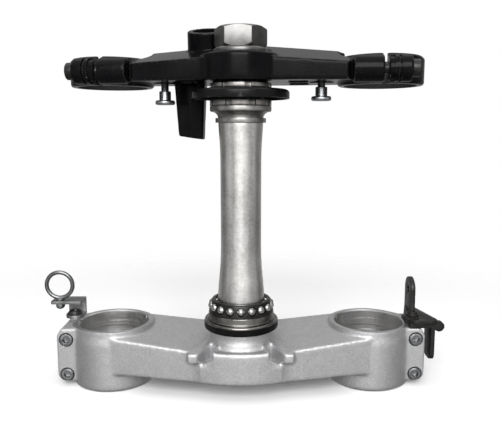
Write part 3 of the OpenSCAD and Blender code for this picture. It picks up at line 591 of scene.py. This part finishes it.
def stop_relief(bm):
    """Clears the arm's front wall under each steering stop, so that the stop stands out from it alone."""
    inner, outer, clear = 30.6, 46, 36
    wall = [(inner, 26.6), (32, 26.0), (34, 25.2), (36, 24.5), (38, 24.1), (42, 23.3), (outer, 22.6),
            (outer, clear), (inner, clear)]
    for side in SIDES:
        placed(bm, turn(90, "X"), prism, [(side * x, depth) for x, depth in wall], FOOT - 2, STOP_FOOT)


def rim_faces(bm):
    """Faces off the raised rims in the plane of the clamps' tops, and a shallow lip round each bore."""
    for side in SIDES:
        centre = (side * FORK_X, FORK_Y)
        cylinder(bm, LOWER_BORE + 2.3, CLAMP_H - 0.35, CLAMP_H + 6, centre)
        cylinder(bm, RIM + 4, CLAMP_H, CLAMP_H + 6, centre)


def lower_bores(bm):
    """The fork bores, each with the shallow relief turned in its middle."""
    r, relief = LOWER_BORE, LOWER_BORE + 0.35
    relief_low, relief_top = 13.5, 35.0
    profile = [(0, -2), (r + 2.6, -2), (r + 0.6, 0), (r, 0.6), (r, relief_low), (relief, relief_low + 0.7),
               (relief, relief_top - 0.6), (r, relief_top), (r, CLAMP_H - 0.8), (r + 0.5, CLAMP_H - 0.3),
               (r + 2.8, CLAMP_H + 2), (0, CLAMP_H + 2)]
    for side in SIDES:
        spin(bm, profile, 128, (side * FORK_X, FORK_Y))


def stem_hole(bm):
    """The hole that the stem is pressed into."""
    cylinder(bm, RACE_BORE, FOOT - 4, BOSS_TOP + 4)


def lower_slots(bm):
    """The pinch slot through each pair of ears."""
    for side in SIDES:
        x = side * FORK_X
        ends = sorted((x + side * 22, x + side * (EAR_REACH + 3)))
        box(bm, *ends, FORK_Y - SLOT / 2, FORK_Y + SLOT / 2, -2, CLAMP_H + 3)


def lower_holes(bm):
    """Screw holes with their counterbores, the notch in each rim, and the tapped holes."""
    wide, end = EAR_HEAD + 0.7, 2 * EAR_Y - 4
    profile = [(0, -3), (wide, -3), (wide, -0.4), (EAR_HEAD, 0.4), (EAR_HEAD, EAR_SINK),
               (EAR_HOLE, EAR_SINK), (EAR_HOLE, end), (0, end)]
    notch_half, notch_turn = 1.3, 180 - 28
    for side in SIDES:
        x = side * FORK_X
        for z in EAR_SCREWS:
            placed(bm, along_y(x + side * EAR_X, FORK_Y - EAR_Y, z), spin, profile, 40)
        lay = Matrix.Translation((x, FORK_Y, 0)) @ Matrix.Diagonal((side, 1, 1, 1)) @ turn(notch_turn, "Z")
        placed(bm, lay, box, LOWER_BORE - 2, LOWER_BORE + 1.8, -notch_half, notch_half,
               CLAMP_H - 2.2, CLAMP_H + 2)
    for x, y in TAPPED:
        cylinder(bm, TAPPED_R, CLAMP_H - TAPPED_DEPTH, CLAMP_H + 2, (x, y), 24)


def make_lower_yoke():
    yoke = merged_copy("lower_yoke", "lower_yoke_casting", dissolve=False)
    yoke.data.materials.append(FINISHES["cast_silver"])
    machine(yoke, "cast_silver", stop_relief)
    join(yoke, mesh_from("lower_plugs", lower_plugs))
    yoke.data.materials.clear()
    cast_form(yoke, voxel=0.92, passes=14)
    yoke.data.materials.append(FINISHES["cast_silver"])
    machine(yoke, "machined_silver", rim_faces, lower_bores, stem_hole, lower_slots, lower_holes)
    keep(shade(yoke, 28), "cast_silver", "cast_silver", "lower_yoke")


# Top yoke

def in_yoke_frame(build):
    """Lets a builder work square to the yoke, and turns what it makes about the stem as the yoke is."""
    return lambda bm: placed(bm, turn(YOKE_TURN, "Z"), build)


def lock_frame():
    """The foot of the lock boss, with +Z along its tilted axis."""
    return Matrix.Translation((LOCK_X, LOCK_Y, LOCK_Z)) @ turn(LOCK_TILT, "X")


@in_yoke_frame
def top_plugs(bm):
    """Fills the top yoke's bores, slots, pinch bosses and holes."""
    low, high, boss = TOP_CLAMP_Z, TOP_CLAMP_Z + TOP_CLAMP_H, PINCH_OUT - PINCH_IN
    for side in SIDES:
        x = side * FORK_X
        cylinder(bm, TOP_BORE + 0.3, low + 0.02, high - 0.02, (x, FORK_Y))
        box(bm, x - SLOT, x + SLOT, FORK_Y - TOP_CLAMP_R + 1, FORK_Y - TOP_BORE + 1, low + 1.2, high - 1.6)
        inner = min(side * PINCH_IN, side * PINCH_OUT) + 1
        neck = min(side * PINCH_NECK[0], side * (PINCH_NECK[0] + 10))
        placed(bm, along_x(x - 10, PINCH_Y, PINCH_Z), cylinder, PINCH_R - 1.5, 0, 20, segments=48)
        placed(bm, along_x(inner, PINCH_Y, PINCH_Z), cylinder, PINCH_HEAD + 0.6, 0.05, boss - 2, segments=32)
        placed(bm, along_x(neck, PINCH_Y, PINCH_Z), cylinder, PINCH_R - 0.1, 0, 10, segments=48)
        cylinder(bm, HANGER_R + 0.45, YOKE_UNDER + 0.05, HANGER_TOP + 2.7, (side * HANGER_X, HANGER_Y), 24)
    cylinder(bm, THREAD_R + 0.4, YOKE_UNDER + 0.05, SEAT_Z - 0.05)
    placed(bm, lock_frame(), cylinder, LOCK_BORE + 0.4, 2, LOCK_H - 0.05)


@in_yoke_frame
def top_bores(bm):
    """The fork bores, chamfered below and above, and clear of the deck above them."""
    low, high, r = TOP_CLAMP_Z, TOP_CLAMP_Z + TOP_CLAMP_H, TOP_BORE
    profile = [(0, low - 3), (r + 3.5, low - 3), (r + 0.5, low), (r, low + 0.5), (r, high - 0.6),
               (r + 0.6, high), (r + 3.6, high + 3), (r + 3.6, high + 12), (0, high + 12)]
    for side in SIDES:
        spin(bm, profile, 128, (side * FORK_X, FORK_Y))


def half_ring(bm, inner, outer, x0, x1, steps=24):
    """The rear half of a ring round the pinch screw's axis."""
    turns = [math.radians(90 + 180 * i / steps) for i in range(steps + 1)]
    outline = [(outer, a) for a in turns] + [(inner, a) for a in reversed(turns)]
    ends = [[bm.verts.new((x, PINCH_Y + r * math.cos(a), PINCH_Z + r * math.sin(a))) for r, a in outline]
            for x in (x0, x1)]
    count = len(outline)
    for i in range(steps):
        for end in ends:
            bm.faces.new((end[i], end[i + 1], end[count - 2 - i], end[count - 1 - i]))
    for i in range(count):
        j = (i + 1) % count
        bm.faces.new((ends[0][i], ends[0][j], ends[1][j], ends[1][i]))


@in_yoke_frame
def pinch_grooves(bm):
    """Two turned grooves between the slot and the collar of each pinch boss."""
    for side in SIDES:
        for near, far in (PINCH_NECK, PINCH_COLLAR):
            half_ring(bm, PINCH_R - 1.4, PINCH_R + 2, *sorted((side * near, side * far)))


@in_yoke_frame
def top_slots(bm):
    """The pinch slot through each clamp and its boss."""
    low, high = TOP_CLAMP_Z - 3, TOP_CLAMP_Z + TOP_CLAMP_H + 6
    for side in SIDES:
        x = side * FORK_X
        box(bm, x - SLOT / 2, x + SLOT / 2, PINCH_Y - 14, FORK_Y - 20, low, high)


@in_yoke_frame
def top_holes(bm):
    """Pinch screw holes with their counterbores, the shoulder bolts' holes and the lock's bore."""
    start, end = 16, 45
    pinch = [(0, start), (PINCH_HOLE, start), (PINCH_HOLE, PINCH_SHELF), (PINCH_HEAD, PINCH_SHELF),
             (PINCH_HEAD, end), (0, end)]
    for side in SIDES:
        lay = Matrix.Translation((side * PINCH_IN, PINCH_Y, PINCH_Z)) @ turn(90 * side, "Y")
        placed(bm, lay, spin, pinch, 40)
        cylinder(bm, HANGER_R, YOKE_UNDER - 3.3, HANGER_TOP, (side * HANGER_X, HANGER_Y), 24)
    floor, mouth = LOCK_H - LOCK_DEPTH, LOCK_H + 1
    lock = [(0, floor), (LOCK_BORE, floor), (LOCK_BORE, LOCK_H - 0.5), (LOCK_BORE + 1.4, mouth), (0, mouth)]
    placed(bm, lock_frame(), spin, lock, 64)


def make_top_yoke():
    yoke = merged_copy("top_yoke", "top_yoke_casting", dissolve=False)
    join(yoke, mesh_from("top_plugs", top_plugs))
    cast_form(yoke, voxel=0.8, passes=5)
    yoke.data.materials.append(FINISHES["satin_black"])
    machine(yoke, "satin_black", top_bores, pinch_grooves, top_slots, top_holes)
    keep(shade(yoke, 28), "yoke_black", "satin_black", "top_yoke")


# Pieces whose CAD shape is kept

def bevelled(node, name, slot, finish, width):
    """A copy of a CAD node with its edges broken, as a fettled or plated part has them."""
    piece = merged_copy(node, name)
    edge = piece.modifiers.new("broken_edges", "BEVEL")
    edge.width = width * MM
    edge.segments = 2
    edge.limit_method = "ANGLE"
    edge.angle_limit = math.radians(32)
    edge.use_clamp_overlap = True
    apply_modifiers(piece)
    return keep(shade(piece, 40), slot, finish, node)


def clear_of_rim(plate, side, finish):
    """Cuts a plate back where it reaches over its clamp's raised rim."""
    centre = (side * FORK_X, FORK_Y)
    machine(plate, finish, lambda bm: cylinder(bm, RIM + 0.2, CLAMP_H - 4, CLAMP_H + 0.2, centre))
    shade(plate, 40)


def make_fasteners_and_brackets():
    for side in ("left", "right"):
        bevelled(side + "_lower_pinch_bolts", side + "_ear_screws", "screw_steel", "screw_steel", 0.25)
        bevelled(side + "_top_pinch_bolt", side + "_top_clamp_screw", "bolt_black", "black_steel", 0.3)
        bevelled(side + "_shoulder_bolt", side + "_collar_screw", "zinc", "bright_zinc", 0.3)
    bevelled("adjuster_ring_nut", "adjuster_nut", "nut_steel", "ring_plate", 0.25)
    bevelled("lock_ring_nut", "locking_nut", "nut_steel", "ring_plate", 0.25)
    bevelled("stem_nut", "crown_nut", "nut_steel", "plated_steel", 0.4)
    guide_bracket = bevelled("hose_guide_bracket", "guide_bracket", "bracket_grey", "bracket_grey", 0.3)
    bevelled("hose_guide_nut", "guide_nut", "screw_steel", "screw_steel", 0.2)
    # painted shade: this screw gets a darker finish than the other screws, which stands in for the shade in
    # the hollow round its head as well as for its own dark head.
    bevelled("guide_bracket_bolt", "guide_screw", "screw_steel", "screw_dark", 0.2)
    bevelled("cable_stay", "cable_stay_plate", "stay_black", "black_steel", 0.35)
    hose_stay = bevelled("brake_hose_stay", "hose_stay_plate", "stay_black", "black_steel", 0.35)
    bevelled("stay_bolt", "stay_screw", "stay_black", "black_steel", 0.2)
    clear_of_rim(guide_bracket, -1, "bracket_grey")
    clear_of_rim(hose_stay, 1, "black_steel")


# Turned pieces on the stem, as profiles of (radius, height, edge radius)

def make_stem():
    stem = turned("stem_tube", [
        (STEM_HOLE, FOOT, 0.6), (STEM_SEAT, FOOT, 1.0), (STEM_SEAT, TAPER_LOW, 10),
        (STEM_WAIST, WAIST_LOW, 12), (STEM_WAIST, WAIST_TOP, 10), (STEM_NECK, TAPER_TOP, 2.0),
        (STEM_NECK, NECK_TOP), (THREAD_R, NECK_TOP), (THREAD_R, STEM_TOP - 1), (THREAD_R - 1, STEM_TOP),
        (STEM_HOLE, STEM_TOP, 0.5)])
    keep(shade(stem), "stem_steel", "turned_steel", "steering_stem")


def make_dust_seal():
    seal = turned("dust_seal", [
        (SEAL_BORE, BOSS_TOP), (SEAL_R - 0.6, BOSS_TOP, 0.4), (SEAL_R, BOSS_TOP + 0.8, 0.4),
        (SEAL_R, SEAL_TOP, 0.5), (SEAL_BORE, SEAL_TOP)])
    keep(shade(seal), "seal_rubber", "moulded_rubber", "lower_dust_seal")


def make_seal_washer():
    washer = turned("seal_cover_washer", [
        (SEAL_BORE, SEAL_TOP), (WASHER_R, SEAL_TOP, 0.3), (WASHER_R, SEAL_TOP + 0.9, 0.4),
        (WASHER_R - 0.8, WASHER_TOP, 0.5), (SEAL_BORE, WASHER_TOP)], 0.2)
    keep(shade(washer), "race_steel", "ground_steel", "seal_washer")


def make_lower_race():
    """The race's groove is an arc round the balls' centres, from its shoulder to its inner lip."""
    groove, steps = BALL_R + 0.08, 16
    start = -math.acos((SHOULDER_R - BALL_RING) / groove)
    turns = [start + (-math.pi - start) * i / steps for i in range(steps + 1)]
    arc = [(BALL_RING + groove * math.cos(a), BALL_Z + groove * math.sin(a), 0) for a in turns]
    race = turned("lower_race", [
        (RACE_BORE, WASHER_TOP), (RACE_R, WASHER_TOP, 0.3), (RACE_R, WASHER_TOP + 0.9, 0.2),
        (25.9, 58.6, 0.2), (25.4, 63.0, 0.5), (SHOULDER_R, SHOULDER_Z, 0.2)] + arc + [
        (19.35, RACE_TOP, 0.2), (RACE_BORE, RACE_TOP)], 0.2)
    keep(shade(race), "race_steel", "ground_steel", "lower_inner_race")


def make_upper_race():
    """The upper race flares from its foot to the adjuster nut in a quarter of an ellipse."""
    foot_r, foot_top = 19.1, NECK_TOP + 3.4
    waist, out, up, steps = 17.1, 5.49, 4.8, 8
    turns = [math.radians(90 * i / steps) for i in range(steps + 1)]
    flare = [(waist + out * (1 - math.cos(a)), foot_top + up * math.sin(a), 0) for a in turns]
    race = turned("upper_race", [
        (RING_BORE, NECK_TOP), (foot_r, NECK_TOP, 0.5), (foot_r, foot_top, 0.2)] + flare + [
        (NUT_R, UPPER_RACE_TOP - 3.3, 0.3), (NUT_R, UPPER_RACE_TOP, 0.6), (RING_BORE, UPPER_RACE_TOP)])
    keep(shade(race), "race_steel", "ring_plate", "upper_inner_race")


def make_cover():
    hub, inside, skirt = 17.9, COVER_R - COVER_WALL, COVER_LOW + 0.6
    cover = turned("dust_cover", [
        (RING_BORE, COVER_LOW), (hub, COVER_LOW, 0.3), (hub, 232.1, 0.8), (inside, 231.3, 0.8),
        (inside, skirt, 0.2), (COVER_R, skirt, 0.2), (COVER_R, 231.7, 0.8), (inside, 233.3, 0.8),
        (NUT_R, COVER_TOP, 0.4), (RING_BORE, COVER_TOP)], 0.2)
    keep(shade(cover), "cover_black", "cover_black", "upper_dust_cover")


def make_stem_washer():
    rim, crown = 20.8, 19.0
    washer = turned("crown_washer", [
        (RING_BORE, SEAT_Z), (rim, SEAT_Z, 0.3), (rim, SEAT_Z + 2, 0.5), (crown, NUT_Z, 0.4),
        (RING_BORE, NUT_Z)], 0.2)
    keep(shade(washer), "nut_steel", "plated_steel", "stem_washer")


# Balls, their cage and the hose guide's ring

class Steps(Nodes):
    """A geometry tree with named inputs, which makes one piece."""

    def __init__(self, name):
        super().__init__(bpy.data.node_groups.new(name, "GeometryNodeTree"))
        self.tree.interface.new_socket("Geometry", in_out="OUTPUT", socket_type="NodeSocketGeometry")
        self.values = {}
        self.way_in = self.tree.nodes.new("NodeGroupInput")
        self.way_out = self.tree.nodes.new("NodeGroupOutput")

    def size(self, name, value, kind="NodeSocketFloat"):
        """Adds a named input with its value, and gives its wire."""
        socket = self.tree.interface.new_socket(name, in_out="INPUT", socket_type=kind)
        self.values[socket.identifier] = value
        return Wire(self, next(s for s in self.way_in.outputs if s.identifier == socket.identifier))

    def run(self, name, geometry, finish):
        """The piece that the tree makes, as a plain mesh."""
        real = self.node("GeometryNodeRealizeInstances", {}, {0: geometry})
        dressed = self.node("GeometryNodeSetMaterial", {}, {0: real, "Material": FINISHES[finish]})
        self.tree.links.new(dressed.socket, self.way_out.inputs[0])
        piece = new_object(name, bpy.data.meshes.new(name))
        modifier = piece.modifiers.new("steps", "NODES")
        modifier.node_group = self.tree
        for identifier, value in self.values.items():
            modifier[identifier] = value
        return apply_modifiers(piece)


def make_balls():
    steps = Steps("balls_on_a_circle")
    count = steps.size("Balls", BALLS, "NodeSocketInt")
    ring = steps.size("Circle radius", BALL_RING * MM)
    ball = steps.size("Ball radius", BALL_R * MM)
    height = steps.size("Height", BALL_Z * MM)
    circle = steps.node("GeometryNodeMeshCircle", {}, {"Vertices": count, "Radius": ring})
    lift = steps.node("ShaderNodeCombineXYZ", {}, {2: height})
    half_step = (0, 0, math.pi / BALLS)
    circle = steps.node("GeometryNodeTransform", {}, {
        0: circle, "Translation": lift, "Rotation": half_step})
    sphere = steps.node("GeometryNodeMeshUVSphere", {}, {"Segments": 32, "Rings": 16, "Radius": ball})
    sphere = steps.node("GeometryNodeSetShadeSmooth", {}, {0: sphere})
    balls = steps.node("GeometryNodeInstanceOnPoints", {}, {"Points": circle, "Instance": sphere})
    keep(steps.run("balls", balls, "polished_ball"), "ball_steel", "polished_ball", "bearing_balls")


def ball_pockets(bm):
    """A round pocket in the cage for each ball."""
    for i in range(BALLS):
        lay = Matrix.Rotation(2 * math.pi * (i + 0.5) / BALLS, 4, "Z") @ along_x(0, 0, BALL_Z)
        placed(bm, lay, cylinder, BALL_R + 0.12, 21.4, 29, segments=28)


def make_cage():
    top, lip = 72.87, 20.0
    cage = turned("ball_cage_ring", [
        (24.2, SHOULDER_Z), (25.4, SHOULDER_Z, 0.3), (23.2, 72.1, 0.6), (22.4, top, 0.4), (lip, top, 0.4),
        (lip, 71.7, 0.3), (22.0, 71.6, 0.4)], 0.25, 144)
    cage.data.materials.append(FINISHES["oiled_black"])
    machine(cage, "oiled_black", ball_pockets)
    keep(shade(cage), "cage_black", "oiled_black", "ball_cage")


def eye_ring(bm):
    """The guide's round wire, closed into a ring about the z axis."""
    sides = 24
    turns = [2 * math.pi * i / sides for i in range(sides)]
    spin(bm, [(EYE_R + WIRE_R * math.cos(a), WIRE_R * math.sin(a)) for a in turns], 96)


def guide_eye(bm):
    """The upright eye, and its shank with a collar under it."""
    shank, collar_r, collar_low, top = 2.5, 3.4, 61.9, 63.9
    profile = [(0, SHANK_LOW), (shank - 0.2, SHANK_LOW), (shank, SHANK_LOW + 0.6), (shank, collar_low),
               (collar_r, collar_low + 0.2), (collar_r - 0.2, top - 0.3), (0, top)]
    placed(bm, Matrix.Translation((EYE_X, EYE_Y, EYE_Z)) @ turn(90, "X"), eye_ring)
    spin(bm, rounded(profile, 0.2), 32, (EYE_X, EYE_Y))


def make_guide_ring():
    keep(shade(mesh_from("guide_ring", guide_eye), 40), "zinc", "ring_zinc", "hose_guide_ring")


# Floor, light and camera

def make_floor():
    """A pale floor, a hair under the part, that fades into the white surround."""
    near, far = 0.20, 0.60
    floor = mesh_from("floor", lambda bm: bmesh.ops.create_grid(bm, x_segments=2, y_segments=2, size=3000))
    floor.data.transform(Matrix.Translation((0, 0, -0.2 * MM)))
    paper = Finish("pale_floor", 0.0, 0.1)
    paper.shader.inputs["Roughness"].default_value = 0.9
    away = paper.node("ShaderNodeVectorMath", {"operation": "LENGTH"}, {0: paper.stretched(1, 1, 0)}, out=1)
    shown = paper.node("ShaderNodeMapRange", {"interpolation_type": "SMOOTHERSTEP"},
                       {"Value": away, "From Min": near, "From Max": far, "To Min": 1.0, "To Max": 0.0})
    paper.set(Base_Color=paper.blend(paper.grain(4, 2), (0.95, 0.95, 0.95), (0.97, 0.97, 0.97)), Alpha=shown)
    floor.data.materials.append(paper.material)
    floor.visible_glossy = False


def make_surround():
    """White to the camera. To the metal it is bright in front and behind, and dim at the sides."""
    world = bpy.context.scene.world or bpy.data.worlds.new("studio")
    bpy.context.scene.world = world
    world.use_nodes = True
    world.node_tree.nodes.clear()
    studio = Nodes(world.node_tree)
    way = studio.node("ShaderNodeTexCoord", out="Generated")
    forward = studio.node("ShaderNodeSeparateXYZ", {}, {0: way}, out=1)
    spot = studio.node("ShaderNodeMapRange", {}, {"Value": forward, "From Min": -1.0})
    greys = ((0.0, 1.0), (0.07, 0.85), (0.20, 0.30), (0.45, 0.17), (0.70, 0.20), (1.0, 0.55))
    glow = studio.node("ShaderNodeValToRGB", {"stops": greys}, {"Fac": spot})
    seen = studio.node("ShaderNodeBackground", {}, {"Color": (1, 1, 1, 1), "Strength": 1.0})
    felt = studio.node("ShaderNodeBackground", {}, {"Color": glow, "Strength": 0.8})
    to_camera = studio.node("ShaderNodeLightPath", out="Is Camera Ray")
    mixed = studio.node("ShaderNodeMixShader", {}, {0: to_camera, 1: felt, 2: seen})
    out = studio.tree.nodes.new("ShaderNodeOutputWorld")
    studio.tree.links.new(mixed.socket, out.inputs[0])


def make_lamps():
    """Soft boxes, each as place, aim, size in metres and watts."""
    for name, spot, aim, size, power in (
            ("overhead_softbox", (0.0, 0.05, 1.35), (0, 0.02, 0.1), (2.2, 1.8), 14.0),
            ("front_softbox", (-0.05, -1.25, 0.85), (0, 0, 0.1), (1.1, 0.9), 23.0),
            ("left_softbox", (-1.3, -0.5, 0.5), (0, 0, 0.14), (1.0, 1.2), 1.5),
            ("right_softbox", (1.3, -0.5, 0.5), (0, 0, 0.14), (1.0, 1.2), 1.5)):
        lamp = bpy.data.lights.new(name, "AREA")
        lamp.shape = "RECTANGLE"
        lamp.size, lamp.size_y = size
        lamp.energy = power
        holder = new_object(name, lamp)
        holder.location = spot
        holder.rotation_euler = (Vector(aim) - Vector(spot)).to_track_quat("-Z", "Y").to_euler()


def make_camera():
    lens = bpy.data.cameras.new("photo_camera")
    lens.sensor_width = SENSOR_MM
    lens.lens = FOCAL_PIXELS * SENSOR_MM / PHOTO_WIDTH
    lens.clip_start = 0.01
    holder = new_object("photo_camera", lens)
    holder.location = CAMERA_AT
    holder.rotation_euler = (math.radians(90 - CAMERA_DOWN), 0, math.radians(CAMERA_TURN))
    bpy.context.scene.camera = holder


make_lower_yoke()
make_top_yoke()
make_fasteners_and_brackets()
make_stem()
make_dust_seal()
make_seal_washer()
make_lower_race()
make_upper_race()
make_cover()
make_stem_washer()
make_balls()
make_cage()
make_guide_ring()
make_floor()
make_surround()
make_lamps()
make_camera()
bpy.context.scene.view_settings.view_transform = "Standard"
